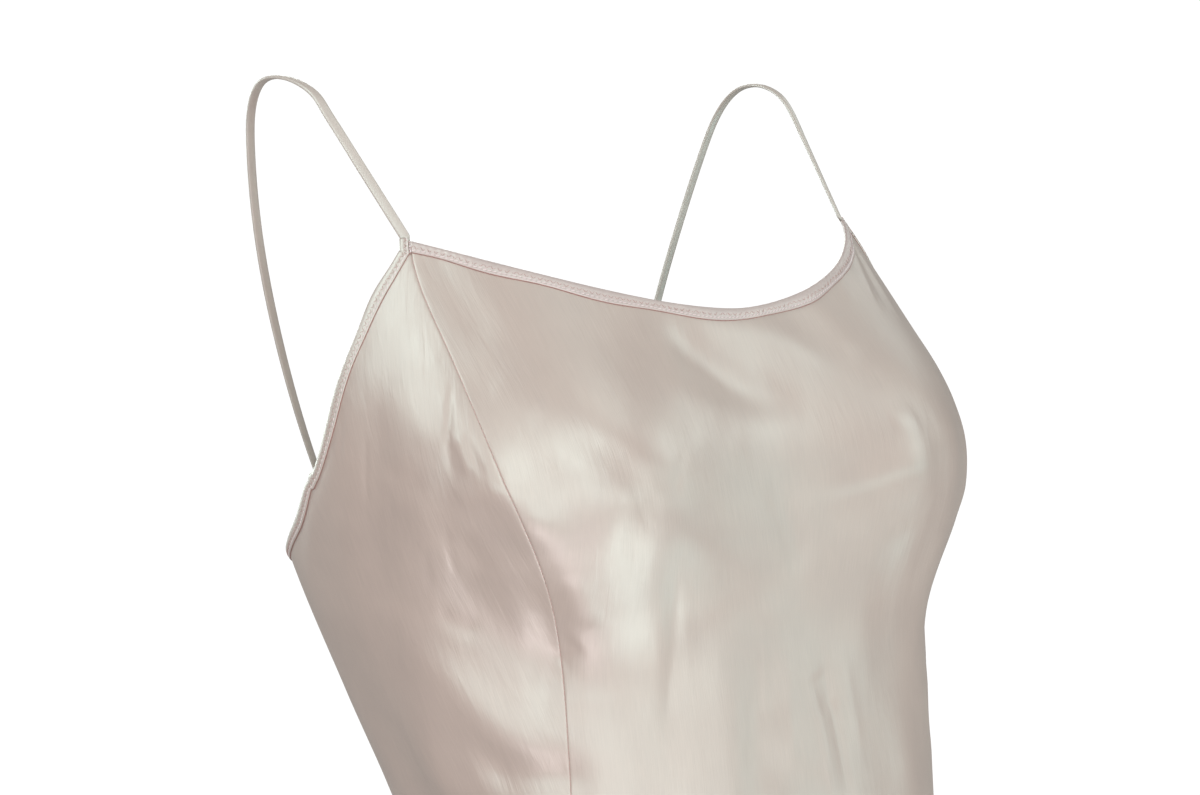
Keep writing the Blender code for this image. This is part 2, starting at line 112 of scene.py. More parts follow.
# Soft creases and swellings of the bodice: half_width, lift, then the line's points as (angle, z).
CREASES = (
    # From the right arm under the cup: a long swelling that runs down into the front panel.
    (0.0105, 0.0016, (-69, -0.104), (-61, -0.116), (-55, -0.130), (-51, -0.147), (-46, -0.172),
     (-38, -0.224)),
    (0.0115, 0.0020, (-56, -0.150), (-50, -0.165), (-43, -0.194)),
    (0.0060, 0.0010, (-60, -0.170), (-53, -0.169), (-46, -0.164)),
    (0.0080, 0.0005, (-66, -0.108), (-63, -0.130), (-61, -0.158)),
    (0.0080, 0.0004, (-79, -0.136), (-85, -0.158), (-93, -0.190), (-104, -0.218)),
    (0.0090, 0.0006, (-62, -0.090), (-69, -0.107), (-76, -0.128), (-82, -0.152)),
    (0.0080, 0.0004, (-48, -0.124), (-39, -0.138)),
    (0.0060, 0.0007, (-41, -0.200), (-39, -0.226)),
    # The right side panel is drawn in behind it, and swells again at the waist.
    (0.0120, -0.0020, (-73, -0.118), (-74, -0.148), (-77, -0.180), (-78, -0.225)),
    (0.0090, -0.0006, (-86, -0.226), (-74, -0.232)),
    (0.0055, -0.0006, (-74, -0.163), (-63, -0.166)),
    (0.0080, 0.0014, (-67, -0.166), (-65, -0.188), (-61, -0.212)),
    (0.0050, -0.0008, (-59, -0.184), (-54, -0.202)),
    (0.0085, -0.0024, (-50, -0.200), (-46, -0.222), (-47, -0.240), (-53, -0.268)),
    (0.0050, -0.0008, (-47, -0.239), (-41, -0.230)),
    (0.0050, -0.0007, (-67, -0.218), (-58, -0.228)),
    (0.0120, 0.0021, (-86, -0.310), (-82, -0.282), (-77, -0.264), (-70, -0.246)),
    (0.0100, -0.0028, (-72, -0.284), (-57, -0.284), (-44, -0.288)),
    # Fine puckers where the right seam curves over the cup, and barely pressed ones behind it.
    (0.0011, -0.0008, (-54.8, -0.125), (-56.5, -0.1395), (-57.8, -0.150), (-57.3, -0.164)),
    (0.0011, -0.0006, (-53.7, -0.1465), (-52.8, -0.154), (-51.2, -0.163)),
    (0.0024, 0.0009, (-55.6, -0.143), (-54.9, -0.152), (-54.4, -0.162)),
    (0.0015, -0.0003, (-81.5, -0.1385), (-83.5, -0.160)),
    (0.0015, -0.0003, (-76.8, -0.145), (-79.2, -0.180)),
    (0.0014, -0.0002, (-72.5, -0.168), (-73.5, -0.192)),
    (0.0014, -0.0002, (-66.2, -0.190), (-66.5, -0.210)),
    (0.0015, -0.0003, (-61.2, -0.181), (-61.0, -0.206)),
    # Over the right cup and between the cups, under the neckline.
    (0.0090, -0.0012, (-57, -0.066), (-52, -0.084), (-49, -0.096), (-45, -0.115)),
    (0.0095, -0.0024, (-14, -0.107), (-9, -0.117), (-4, -0.128), (0, -0.136), (4, -0.141)),
    (0.0090, 0.0007, (-17, -0.124), (-11, -0.133), (-5, -0.145)),
    (0.0100, 0.0014, (-12, -0.095), (-4, -0.103), (4, -0.111), (11, -0.124)),
    (0.0090, 0.0006, (13, -0.090), (18, -0.122)),
    (0.0090, 0.0006, (-14, -0.142), (-3, -0.158)),
    (0.0100, -0.0011, (-2, -0.164), (0, -0.188), (2, -0.212)),
    (0.0090, -0.0013, (-40, -0.144), (-29, -0.156), (-25, -0.170), (-28, -0.186), (-33, -0.218)),
    (0.0055, -0.0006, (-24, -0.163), (-17, -0.166)),
    # Down the front, from the cups to the waist.
    (0.0095, 0.0004, (-22, -0.181), (-13, -0.194), (-5, -0.210)),
    (0.0090, -0.0005, (-23, -0.231), (-15, -0.222), (-6, -0.214)),
    (0.0100, 0.0008, (-5, -0.212), (-3, -0.232), (-2, -0.262)),
    (0.0105, 0.0021, (-22, -0.194), (-25, -0.228), (-25, -0.258), (-26, -0.290), (-25, -0.340)),
    (0.0115, -0.0023, (-7, -0.232), (-9.5, -0.262), (-12, -0.290), (-14, -0.340)),
    (0.0160, 0.0021, (11, -0.180), (14, -0.218), (18, -0.246), (23, -0.278), (27, -0.305), (29, -0.350)),
    (0.0080, 0.0012, (1, -0.176), (10, -0.174), (16, -0.169), (25, -0.165)),
    (0.0070, -0.0007, (12, -0.190), (26, -0.184)),
    (0.0110, -0.0015, (18, -0.130), (25, -0.155), (27, -0.185), (29, -0.215), (31, -0.245)),
    (0.0060, 0.0006, (15, -0.150), (22, -0.147)),
    (0.0080, -0.0008, (3, -0.250), (6, -0.270)),
    (0.0090, -0.0010, (-16, -0.276), (-2, -0.296), (10, -0.302)),
    (0.0042, -0.0010, (-21.5, -0.196), (-23.5, -0.220), (-25.5, -0.242), (-28, -0.262), (-29.5, -0.276)),
    (0.0020, 0.0003, (-6.5, -0.228), (-9, -0.272)),
    (0.0025, 0.0003, (-2.5, -0.245), (-5, -0.292)),
    (0.0032, 0.0006, (2.0, -0.244), (3.2, -0.275), (3.8, -0.312)),
    (0.0030, -0.0007, (5.6, -0.236), (6.8, -0.270), (7.6, -0.318)),
    (0.0045, 0.0005, (10.5, -0.240), (12.5, -0.290)),
    (0.0060, -0.0006, (-9.5, -0.250), (-13, -0.278), (-15, -0.300)),
    # Fans from the left strap, and slanting wrinkles barely pressed.
    (0.0028, 0.0007, (45.5, -0.071), (37, -0.087), (31, -0.104)),
    (0.0028, -0.0005, (47, -0.071), (41, -0.088), (36, -0.106)),
    (0.0030, 0.0005, (48.5, -0.072), (44, -0.090), (40, -0.110)),
    (0.0025, 0.0004, (28, -0.084), (22.5, -0.099)),
    (0.0012, -0.0002, (-28, -0.124), (-28.3, -0.135)),
    (0.0012, -0.0002, (-26, -0.130), (-28.2, -0.143)),
    (0.0013, -0.0002, (-27.3, -0.162), (-26.6, -0.182)),
    (0.0013, -0.0002, (-15, -0.150), (-20, -0.170)),
    # The left side, much as the right one.
    (0.0105, 0.0013, (70, -0.106), (62, -0.118), (55, -0.134), (50, -0.152), (45, -0.178), (40, -0.218)),
    (0.0120, 0.0012, (55, -0.155), (49, -0.170), (44, -0.196)),
    (0.0130, -0.0016, (74, -0.120), (75, -0.150), (78, -0.184), (80, -0.228)),
    (0.0090, -0.0015, (50, -0.204), (47, -0.226), (49, -0.246), (55, -0.272)),
    (0.0130, 0.0013, (88, -0.308), (83, -0.284), (78, -0.264), (71, -0.246)),
    (0.0110, -0.0011, (72, -0.284), (58, -0.282), (46, -0.286)),
    (0.0012, -0.0005, (57, -0.128), (58.5, -0.144), (58, -0.162)),
    (0.0015, -0.0003, (79, -0.150), (81, -0.182)),
    # The back, drawn in softly above the seat.
    (0.0110, -0.0012, (168, -0.252), (171, -0.290), (169, -0.340)),
    (0.0110, 0.0011, (-172, -0.248), (-176, -0.285), (-174, -0.335)),
    (0.0100, -0.0010, (150, -0.300), (163, -0.315), (178, -0.312)),
    (0.0090, 0.0009, (-142, -0.262), (-152, -0.290), (-165, -0.304)),
    (0.0120, -0.0012, (128, -0.240), (124, -0.275), (126, -0.320)),
    (0.0120, 0.0012, (-124, -0.245), (-121, -0.280), (-124, -0.330)),
)
FOLD_TAPER = 1.2           # how quickly a fold fades at its ends
CREASE_STEPS = 11          # points along a crease's curve
CREASE_REACH = 3           # half widths beyond which a crease is flat
CREASE_ENDS = 0.3          # share of a crease's length over which each end fades
CREASE_LEAST = 0.12        # share of the lift that is left at the ends


def natural_cubic(knots, values):
    """A smooth curve through values at knots, without bend at its ends."""
    knots, values = np.asarray(knots, float), np.asarray(values, float)
    count, gaps = len(knots), np.diff(knots)
    slopes = np.diff(values, axis=0) / gaps.reshape((-1,) + (1,) * (values.ndim - 1))
    system, right_side = np.eye(count), np.zeros_like(values)
    for i in range(1, count - 1):
        system[i, i - 1:i + 2] = gaps[i - 1], 2 * (gaps[i - 1] + gaps[i]), gaps[i]
        right_side[i] = 6 * (slopes[i] - slopes[i - 1])
    bends = np.linalg.solve(system, right_side)

    def curve(at):
        at = np.clip(np.asarray(at, float), knots[0], knots[-1])
        i = np.clip(np.searchsorted(knots, at) - 1, 0, count - 2)
        gap = gaps[i]
        before, after = (knots[i + 1] - at) / gap, (at - knots[i]) / gap
        if values.ndim > 1:
            gap, before, after = gap[..., None], before[..., None], after[..., None]
        swing = (before ** 3 - before) * bends[i] + (after ** 3 - after) * bends[i + 1]
        return before * values[i] + after * values[i + 1] + swing * gap ** 2 / 6

    return curve


section_at = natural_cubic(-SECTIONS[:, 0], SECTIONS[:, 1:])


def sections(z):
    """The ring's sizes at a height, by name."""
    sizes = section_at(-np.asarray(z, float))
    return {name: sizes[..., i] for i, name in enumerate(SECTION_COLUMNS)}


def unit(vectors):
    return vectors / np.linalg.norm(vectors, axis=-1, keepdims=True)


def smoothstep(share):
    share = np.clip(share, 0, 1)
    return share * share * (3 - 2 * share)


def along(points):
    """Each point's distance along the polyline, as a share of its length."""
    steps = np.linalg.norm(np.diff(np.asarray(points, float), axis=0), axis=1)
    distance = np.concatenate([[0.0], np.cumsum(steps)])
    return distance / distance[-1]


def ring(angle, z):
    """Points of the smooth form, before folds and creases."""
    size = sections(z)
    forward, sideways = np.cos(angle), np.sin(angle)
    middle = (size["back"] - size["front"]) / 2
    depth = (size["back"] + size["front"]) / 2
    x = size["half_width"] * np.sign(sideways) * np.abs(sideways) ** (2 / size["squareness"])
    cup = size["bust"] * np.exp(-((np.abs(x) - BUST_SPACING / 2) / BUST_SPREAD) ** 2)
    front = middle - depth * np.abs(forward) ** (2 / size["squareness"]) - cup
    back = middle + depth * np.abs(forward) ** (2 / BACK_SQUARENESS)
    return np.stack([x, np.where(forward > 0, front, back), z + 0 * x], axis=-1)


def fold_lift(angle, z):
    """How far the large folds and flutes lift the cloth."""
    size = sections(z)
    reach = (size["half_width"] + (size["front"] + size["back"]) / 2) / 2
    lift = np.zeros_like(reach)
    for angle_top, z_top, angle_bottom, z_bottom, half_width, height in FOLDS:
        share = np.clip((z_top - z) / (z_top - z_bottom), 0, 1)
        line = np.radians(angle_top + (angle_bottom - angle_top) * share)
        turn = (angle - line + math.pi) % (2 * math.pi) - math.pi
        lift += height * np.exp(-(turn * reach / half_width) ** 2) * np.sin(math.pi * share) ** FOLD_TAPER
    return lift


def crease_lift(angle, z):
    """How far the creases lift the cloth. Distances to a crease are measured on the unrolled form."""
    angle, z = np.broadcast_arrays(angle, z)
    lift = np.zeros(angle.shape)
    turned = (angle + math.pi) % (2 * math.pi) - math.pi
    step = 0.01
    for half_width, height, *line in CREASES:
        line = np.array(line, float)
        middle, level = np.radians(line[:, 0].mean()), line[:, 1].mean()
        reach = np.linalg.norm(ring(middle + step, level) - ring(middle - step, level)) / (2 * step)
        line[:, 0] = np.radians(line[:, 0]) * reach
        if len(line) > 2:
            line = natural_cubic(along(line), line)(np.linspace(0, 1, CREASE_STEPS))
        marks = along(line)
        low = line.min(axis=0) - CREASE_REACH * half_width
        high = line.max(axis=0) + CREASE_REACH * half_width
        near = (turned * reach > low[0]) & (turned * reach < high[0]) & (z > low[1]) & (z < high[1])
        spots = np.stack([turned[near] * reach, z[near]], axis=-1)
        nearest, share = np.full(len(spots), np.inf), np.zeros(len(spots))
        for start, stop, mark, next_mark in zip(line[:-1], line[1:], marks[:-1], marks[1:]):
            run = stop - start
            ahead = np.clip((spots - start) @ run / (run @ run), 0, 1)
            gap = np.linalg.norm(spots - start - ahead[:, None] * run, axis=1)
            share = np.where(gap < nearest, mark + (next_mark - mark) * ahead, share)
            nearest = np.minimum(gap, nearest)
        fade = smoothstep(share / CREASE_ENDS) * smoothstep((1 - share) / CREASE_ENDS)
        fade = CREASE_LEAST + (1 - CREASE_LEAST) * fade
        lift[near] += height * np.exp(-(nearest / half_width) ** 2) * fade
    return lift


def skin(angle, z, out=0.0, creased=False):
    """Points of the folded form, moved out level by a distance."""
    angle, z = np.broadcast_arrays(np.asarray(angle, float), np.asarray(z, float))
    step = 0.002
    tangent = ring(angle + step, z) - ring(angle - step, z)
    normal = unit(np.stack([tangent[..., 1], -tangent[..., 0], 0 * z], axis=-1))
    out = out + fold_lift(angle, z) + (crease_lift(angle, z) if creased else 0)
    return ring(angle, z) + normal * out[..., None]


def seam_angle(z, seam):
    """Where a princess seam crosses the ring at a height."""
    size = sections(z)
    if seam in ("back_left", "back_right"):
        angle = math.pi - np.arcsin((size["seam_back"] / size["half_width"]) ** (size["squareness"] / 2))
    else:
        angle = np.arcsin((size[seam] / size["half_width"]) ** (size["squareness"] / 2))
    return -angle if seam.endswith("right") else angle


SATIN_WALL = 0.0003
BINDING_WIDTH = 0.005
TUCKED_IN = 0.0018         # how far a panel's edge runs up inside its binding
NECK_CENTRE_Z = -0.0987
NECK_END_Z = {"right": -0.0692, "left": -0.0640}
NECK_POWER = 1.71          # the scoop's curve: 1 is straight, 2 a parabola
BACK_CENTRE_Z = -0.224
BACK_END_Z = -0.212
BODICE_Z = -0.300          # the rows of a panel follow its top edge above this and are level below
EDGE_SAMPLES = 201         # along an edge, before it is divided evenly

# The armhole's stitched edge: share of the way round from the front seam to the back seam, z.
ARMHOLE = (
    (0.036, -0.0815),
    (0.104, -0.0930),
    (0.167, -0.1060),
    (0.230, -0.1195),
    (0.287, -0.1340),
    (0.348, -0.1550),
    (0.417, -0.1765),
    (0.471, -0.1880),
    (0.530, -0.1960),
    (0.600, -0.2030),
    (0.710, -0.2090),
    (0.850, -0.2140),
    (1.000, -0.2170),
)


def neckline(count, distance):
    """(angle, z) of the front neckline, moved down from its top edge by a distance."""
    ends = [float(sections(z)[side]) for side, z in NECK_END_Z.items()]
    x = np.linspace(-ends[0], ends[1], EDGE_SAMPLES)
    right = (NECK_END_Z["right"] - NECK_CENTRE_Z) * (np.abs(x) / ends[0]) ** NECK_POWER
    left = (NECK_END_Z["left"] - NECK_CENTRE_Z) * (np.abs(x) / ends[1]) ** NECK_POWER
    z = NECK_CENTRE_Z + np.where(x < 0, right, left)
    size = sections(z)
    angle = np.sign(x) * np.arcsin((np.abs(x) / size["half_width"]) ** (size["squareness"] / 2))
    level = np.linalg.norm(np.gradient(skin(angle, z)[:, :2], axis=0), axis=1)
    lower = z - distance * np.sqrt(1 + (np.gradient(z) / level) ** 2)
    share = (x + ends[0]) / (ends[0] + ends[1])
    where = np.interp(np.linspace(0, 1, count), along(skin(angle, lower)), share)
    lower = np.interp(where, share, lower)
    angle = np.interp(where, share, angle)
    angle[0], angle[-1] = seam_angle(lower[0], "right"), seam_angle(lower[-1], "left")
    return angle, lower


def back_edge(count, distance):
    """(angle, z) of the low back edge, moved down by a distance, left seam to right seam."""
    share = np.linspace(-1, 1, count)
    z = BACK_CENTRE_Z + (BACK_END_Z - BACK_CENTRE_Z) * share ** 2 - distance
    start, stop = seam_angle(z, "back_left"), seam_angle(z, "back_right") + 2 * math.pi
    return start + (stop - start) * (share + 1) / 2, z


def around_side(side, share, z):
    """(angle, z) at a share of the way round a side, front seam to back seam."""
    front, back = seam_angle(z, side), seam_angle(z, "back_" + side)
    return front + (back - front) * share, z


def armhole(side, count):
    """(angle, z) of the armhole's stitched edge in even steps, front seam to back seam."""
    right_end, left_end = neckline(2, BINDING_WIDTH)[1]
    end = right_end if side == "right" else left_end
    rows = [(0.0, end)] + [(share, z + (end - right_end) * (1 - share) ** 3) for share, z in ARMHOLE]
    rows = np.array(rows)
    smooth = natural_cubic(along(skin(*around_side(side, *rows.T))), rows)
    samples = np.linspace(0, 1, EDGE_SAMPLES)
    lengths = along(skin(*around_side(side, *smooth(samples).T)))
    return around_side(side, *smooth(np.interp(np.linspace(0, 1, count), lengths, samples)).T)


def beside(side, angle, z, distance):
    """Move an armhole's edge across itself, towards the arm. Its back end slides up the seam."""
    step = 0.001
    around = (skin(angle + step, z) - skin(angle - step, z)) / (2 * step)
    upward = (skin(angle, z + step) - skin(angle, z - step)) / (2 * step)
    forward = np.gradient(skin(angle, z), axis=0)
    across = unit(np.cross(np.cross(around, upward), forward)) * (-1 if side == "right" else 1)
    moved_angle = angle + distance * np.sum(across * around, axis=1) / np.sum(around ** 2, axis=1)
    moved_z = z + distance * across[:, 2]
    moved_z[-1] = z[-1] + distance / across[-1, 2]
    moved_angle[-1] = around_side(side, 1.0, moved_z[-1])[0]
    return moved_angle, moved_z


def sheet_object(name, grid, flat, wall, material, closed=False):
    """A piece of cloth from a grid of points, with a UV map in metres: across, then down."""
    grid = np.asarray(grid, float)
    rows, columns = grid.shape[:2]
    index = np.arange(rows * columns).reshape(rows, columns)
    faces = np.stack([index[:-1, :-1], index[1:, :-1], index[1:, 1:], index[:-1, 1:]], axis=-1)
    faces = faces.reshape(-1, 4)
    if closed:
        wrap = np.stack([index[-1, :-1], index[0, :-1], index[0, 1:], index[-1, 1:]], axis=-1)
        faces = np.vstack([faces, wrap])
    mesh = bpy.data.meshes.new(name + "_satin")
    mesh.from_pydata(grid.reshape(-1, 3).tolist(), [], faces.tolist())
    uv = mesh.uv_layers.new(name="cloth")
    corners = np.empty(len(mesh.loops), int)
    mesh.loops.foreach_get("vertex_index", corners)
    uv.data.foreach_set("uv", np.asarray(flat, float).reshape(-1, 2)[corners].ravel())
    mesh.shade_smooth()
    mesh.materials.append(material)
    piece = bpy.data.objects.new(name + "_satin", mesh)
    bpy.context.scene.collection.objects.link(piece)
    thick = piece.modifiers.new("wall", "SOLIDIFY")
    thick.thickness = wall
    thick.offset = 0.0
    return piece


def linear(code):
    """An sRGB hex colour as linear RGBA."""
    parts = [int(code[i:i + 2], 16) / 255 for i in (0, 2, 4)]
    return [v / 12.92 if v <= 0.04045 else ((v + 0.055) / 1.055) ** 2.4 for v in parts] + [1.0]


def add_node(tree, kind, links=(), **settings):
    """Add a shader node, set its sockets and properties, and link {socket: output} pairs to it."""
    node = tree.nodes.new(kind)
    for name, value in settings.items():
        if hasattr(node, name):
            setattr(node, name, value)
        else:
            node.inputs[name.replace("_", " ")].default_value = value
    for socket, output in dict(links).items():
        tree.links.new(output, node.inputs[socket])
    return node


# Sizes of the satin's patterns. The slubs of the warp are drawn coarser than its 0.15 mm yarn.
SLUB_WIDTH, SLUB_LENGTH, SLUB_HEIGHT = 0.0005, 0.0125, 0.00006
PRESS_MARK_WIDTH, PRESS_MARK_LENGTH, PRESS_MARK_HEIGHT = 0.004, 0.020, 0.0004
DYE_PATCH = 1 / 35         # 28.6 mm


def satin_material(name, face, shade, gloss, wrinkle, slub=0.8):
    """Silk-like satin: blush yarn with an ivory gloss, fine slubs down it and faint press marks."""
    material = bpy.data.materials.new(name)
    material.use_nodes = True
    tree = material.node_tree
    shader = tree.nodes["Principled BSDF"]
    shader.inputs["Roughness"].default_value = gloss
    shader.inputs["IOR"].default_value = 2.0
    shader.inputs["Specular IOR Level"].default_value = 1.0
    shader.inputs["Specular Tint"].default_value = linear("E5FFF7")
    place = add_node(tree, "ShaderNodeUVMap", uv_map="cloth")
    slub_place = add_node(
        tree, "ShaderNodeMapping", {"Vector": place.outputs[0]}, Scale=(1 / SLUB_WIDTH, 1 / SLUB_LENGTH, 1)
    )
    slubs = add_node(tree, "ShaderNodeTexNoise", {"Vector": slub_place.outputs[0]}, Scale=1.0, Detail=3.0)
    slub_bump = add_node(
        tree, "ShaderNodeBump", {"Height": slubs.outputs[0]}, Strength=slub, Distance=SLUB_HEIGHT
    )
    # Uneven dye and handling, in patches and from slub to slub.
    patches = add_node(
        tree, "ShaderNodeTexNoise", {"Vector": place.outputs[0]}, Scale=1 / DYE_PATCH, Detail=2.0
    )
    mottle = add_node(tree, "ShaderNodeMix", {"A": patches.outputs[0], "B": slubs.outputs[0]}, Factor=0.5)
    colours = add_node(tree, "ShaderNodeMix", {"Factor": mottle.outputs[0]}, data_type="RGBA")
    colours.inputs["A"].default_value = linear(face)
    colours.inputs["B"].default_value = linear(shade)
    tree.links.new(colours.outputs["Result"], shader.inputs["Base Color"])
    mark_place = add_node(
        tree, "ShaderNodeMapping", {"Vector": place.outputs[0]},
        Scale=(1 / PRESS_MARK_WIDTH, 1 / PRESS_MARK_LENGTH, 1),
    )
    marks = add_node(
        tree, "ShaderNodeTexNoise", {"Vector": mark_place.outputs[0]}, Scale=1.0, Detail=3.0, Distortion=0.4
    )
    mark_bump = add_node(
        tree, "ShaderNodeBump", {"Height": marks.outputs[0], "Normal": slub_bump.outputs[0]},
        Strength=wrinkle, Distance=PRESS_MARK_HEIGHT,
    )
    tree.links.new(mark_bump.outputs[0], shader.inputs["Normal"])
    return material


# The hem is turned up 12 mm and its fold rolls in: distance below HEM_ROLL_Z, height.
HEM_FLAT_Z = HEM_Z + 0.003
HEM_ROLL_Z = HEM_Z + 0.0026
HEM_TURN = ((0.0, 0.00016), (0.0016, -0.0002), (0.0024, -0.0008), (0.0020, -0.0013), (-0.0098, -0.0013))

# Across a seam: distance from the seam line and height of the cloth there. The allowance is pressed
# back under the panel, and the cloth dips into the seam over half a millimetre.
ALLOWANCE = ((0.0092, -0.00125), (0.0046, -0.00130), (0.0014, -0.00135), (0.0005, -0.00120))
SEAM_ROLL = ((0.00013, -0.00065), (0.00014, -0.00035), (0.00020, -0.00014), (0.0003, -0.00005),
             (0.0006, 0.00001), (0.0012, 0.00003), (0.0018, 0.00002))
TOP_SAMPLES = 801          # along a panel's top edge, before it is divided
WIDTH_STEPS = 13           # points of each row by which its width is measured


def panel(name, edge_at, seams, rows, columns, material):
    """Make a panel from its top edge (angle, z) to the hem, between two seams.

    rows gives the steps down the bodice and down the skirt.
    """
    turned = ALLOWANCE + SEAM_ROLL
    from_edge = np.array([distance for distance, _ in turned])
    height = np.array([level for _, level in turned])
    even = np.linspace(0, 1, columns)[1:-1]
    inner = from_edge[-1]
    height = np.concatenate([height, 0 * even, height[::-1]])

    angles, tops = edge_at(TOP_SAMPLES)
    angles[0], angles[-1] = seams[0](tops[0]), seams[1](tops[-1])
    edge = skin(angles, tops)
    reach = np.linalg.norm(np.diff(edge, axis=0), axis=1).sum()
    between = (inner + (reach - 2 * inner) * even) / reach
    from_top = np.concatenate([from_edge / reach, between, 1 - from_edge[::-1] / reach])
    angles = np.interp(from_top, along(edge), angles)
    tops = np.interp(from_top, along(edge), tops)
    levels = [tops + (BODICE_Z - tops) * share for share in np.linspace(0, 1, rows[0] + 1)]
    levels += [np.full(len(tops), z) for z in np.linspace(BODICE_Z, HEM_FLAT_Z, rows[1] + 1)[1:]]
    levels += [np.full(len(tops), HEM_ROLL_Z - down) for down, _ in HEM_TURN]
    z = np.array(levels)
    inward = np.zeros(z.shape)
    inward[-len(HEM_TURN):] = np.array([[level] for _, level in HEM_TURN])

    start, stop = seams[0](z), seams[1](z)
    whole = skin(start + (stop - start) * np.linspace(0, 1, WIDTH_STEPS)[:, None, None], z)
    width = np.linalg.norm(np.diff(whole, axis=0), axis=-1).sum(axis=0)
    across = width[:, len(from_edge):-len(from_edge)]
    share = np.concatenate([
        from_edge / width[:, :len(from_edge)], (inner + (across - 2 * inner) * even) / across,
        1 - from_edge[::-1] / width[:, -len(from_edge):],
    ], axis=1)
    top_share = (angles - start[0]) / (stop[0] - start[0])
    share = top_share + (share - top_share) * smoothstep((tops - z) / (tops - BODICE_Z))
    angle = start + (stop - start) * share
    grid = skin(angle, z, height + inward, creased=True)
    flat = np.stack([(share - 0.5) * width, z], axis=-1)
    piece = sheet_object(name, grid, flat, SATIN_WALL, material)
    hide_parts(name)
    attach(piece, "root")
    return piece


satin = satin_material("blush_silk_satin", "CAB4A8", "AC978F", 0.39, 0.33)
worn_satin = satin_material("blush_silk_satin_creased_under_the_arm", "CAB4A8", "AC978F", 0.39, 0.5)

panel(
    "front_panel",
    lambda count: neckline(count, BINDING_WIDTH - TUCKED_IN),
    (lambda z: seam_angle(z, "right"), lambda z: seam_angle(z, "left")),
    rows=(210, 56),
    columns=160,
    material=satin,
)
for side in ("right", "left"):
    panel(
        "side_panel_" + side,
        lambda count: beside(side, *armhole(side, count), TUCKED_IN),
        (lambda z: seam_angle(z, side), lambda z: seam_angle(z, "back_" + side)),
        rows=(200, 56),
        columns=140,
        material=worn_satin,
    )
panel(
    "back_panel",
    lambda count: back_edge(count, BINDING_WIDTH - TUCKED_IN),
    (lambda z: seam_angle(z, "back_left"), lambda z: seam_angle(z, "back_right") + 2 * math.pi),
    rows=(90, 56),
    columns=110,
    material=satin,
)


# The bindings -------------------------------------------------------------------------------------
#
# Narrow bias strips of satin, folded over the raw edge and topstitched near their lower edge. Those
# of the armholes are cut from the straps' plainer satin. The bias lets a strip curve, the stitching
# pulls small slanting ripples into it, and it isn't quite even in width.

BINDING_LIFT = 0.0010      # outer face above the form
BINDING_BACK = 0.0007      # inner face behind it
BINDING_WALL = 0.0003
BINDING_NARROWS = 0.18     # share of the width that is missing at the narrowest places
BINDING_PERIOD = 0.052     # about the distance from one place of full width to the next
BINDING_FIRST_FULL = 0.038
RIPPLE_PERIOD = 0.0034
RIPPLE_SLANT = 2.6         # how far a ripple runs on across the strip, in radians of its wave
RIPPLED = (0.1, 0.78)      # shares of the width between which the outer face ripples

# Rows of stitches: share of the width down, height above the form. stitched collects their lines.
STITCH_ROWS = {
    "zigzag": (0.56, 0.00106),
    "topstitch": (0.82, 0.00076),
    # the rose-brown edge row overlaps into one dark line: thread, and painted shadow under the binding's
    # lower edge
    "edge_stitches": (1.03, 0.00032),
}
stitched = {}

# The folded strip's section, inner turning to outer turning: share of the width down, height.
BINDING_SECTION = (
    (0.84, -0.35), (0.90, -0.50), (0.93, -0.72), (0.88, -0.92), (0.60, -1.00), (0.30, -1.00), (0.10, -0.85),
    (0.02, -0.45), (0.00, 0.00), (0.02, 0.45), (0.10, 0.82), (0.22, 1.00), (0.36, 1.05), (0.50, 1.00),
    (0.64, 0.86), (0.74, 0.66), (0.80, 0.58), (0.86, 0.66), (0.92, 0.74), (0.98, 0.62), (1.00, 0.42),
    (0.96, 0.28), (0.88, 0.22),
)


def binding(name, lines, material, ripple):
    """Make a folded strip from its lines of (points, outward directions), top edge to lower edge."""
    points, outward = lines
    length = along(points[1]) * np.linalg.norm(np.diff(points[1], axis=0), axis=1).sum()
    phase = (length - BINDING_FIRST_FULL) * 2 * math.pi / BINDING_PERIOD + np.sin(length * 17)
    width = 1 - BINDING_NARROWS / 2 * (1 - np.cos(phase))
    downward = (points[-1] - points[0]) * width[:, None]
    # Ripples come and go along the strip, and are strongest in its last third.
    strength = 0.45 + 0.35 * np.sin(length * 47 + 1.0) * np.sin(length * 19)
    strength = strength + 0.9 * smoothstep((length / length[-1] - 0.66) / 0.3)
    ripples = length * 2 * math.pi / RIPPLE_PERIOD + 1.3 * np.sin(length * 61)
    grid, flat, around = [], [], 0.0
    for down, level in BINDING_SECTION:
        out = np.full(length.shape, level * (BINDING_LIFT if level > 0 else BINDING_BACK))
        if RIPPLED[0] < down < RIPPLED[1] and level > 0:
            out = out + ripple * np.sin(ripples + down * RIPPLE_SLANT) * strength
        line = points[0] + downward * down + outward * out[:, None]
        around += np.linalg.norm(line - grid[-1], axis=1).mean() if grid else 0
        grid.append(line)
        flat.append(np.stack([length + around, length - around], axis=-1) / math.sqrt(2))
    for row, (down, lift) in STITCH_ROWS.items():
        stitched[name, row] = points[0] + downward * down + outward * lift, outward
    piece = sheet_object(name, grid, flat, BINDING_WALL, material)
    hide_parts(name)
    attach(piece, "root")
    return piece


def outward_at(angle, z):
    """The direction out of the folded form."""
    step = 0.002
    around = skin(angle + step, z) - skin(angle - step, z)
    upward = skin(angle, z + step) - skin(angle, z - step)
    return unit(np.cross(around, upward))


# Both are paler than the panels' satin: the bindings' is pinkish, the straps' almost without slubs.
binding_satin = satin_material("blush_satin_binding", "D2BEB7", "B4A09D", 0.42, 0.3)
strap_satin = satin_material("blush_satin_strap", "CFC1B7", "B8AAA2", 0.42, 0.1, 0.1)

